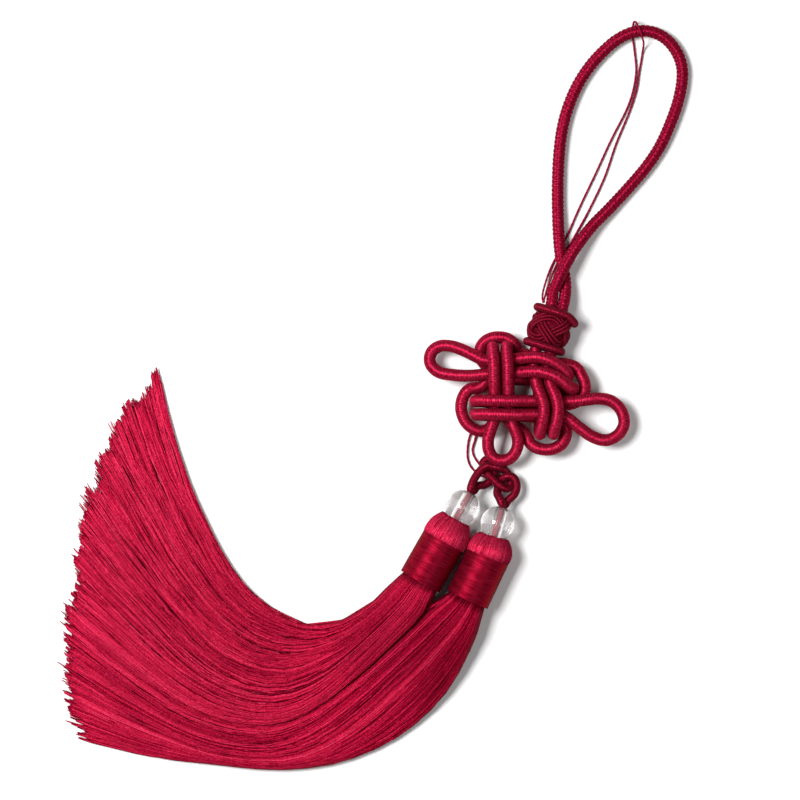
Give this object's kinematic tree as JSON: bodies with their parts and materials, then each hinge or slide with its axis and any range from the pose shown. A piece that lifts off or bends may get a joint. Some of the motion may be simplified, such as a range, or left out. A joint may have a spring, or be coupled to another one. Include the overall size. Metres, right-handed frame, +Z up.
{
  "type": "chinese knot tassel",
  "caption": "Red hanging ornament lying flat: braided loop, collar, good-luck knot of satin cord, clear beads and long thread tassels swept into a fan.",
  "frame": {"origin": "on the surface it lies on, under the middle of everything but the free cords of the hanging loop", "axes": "+Z up from the surface, +Y towards the hanging loop, +X to the right as seen from above"},
  "size_m": [0.1793, 0.2137, 0.0157],
  "materials": {
    "braided_cord": "round braided cord of crimson thread, softly shiny",
    "thin_string": "thin dark red string",
    "deep_cord": "smooth satin cord, deep burgundy",
    "satin_cord": "cord wound with crimson satin thread, with fine cross ridges",
    "crystal": "clear polished glass",
    "tassel_thread": "long fine crimson threads with a soft sheen",
    "wound_band": "fine thread wound close, satin sheen"
  },
  "bodies": {
    "root": {"hanging_loop": "braided_cord", "loop_string": "thin_string", "collar_top_wrap": "deep_cord", "collar_button": "deep_cord", "collar_bottom_wrap": "deep_cord", "knot_cord": "satin_cord", "link_string": "thin_string", "link_cord_left": "deep_cord", "link_cord_right": "deep_cord", "bead_left": "crystal", "bead_right": "crystal", "tassel_left": "tassel_thread", "tassel_right": "tassel_thread", "band_left": "wound_band", "band_right": "wound_band"}
  },
  "joints": []
}
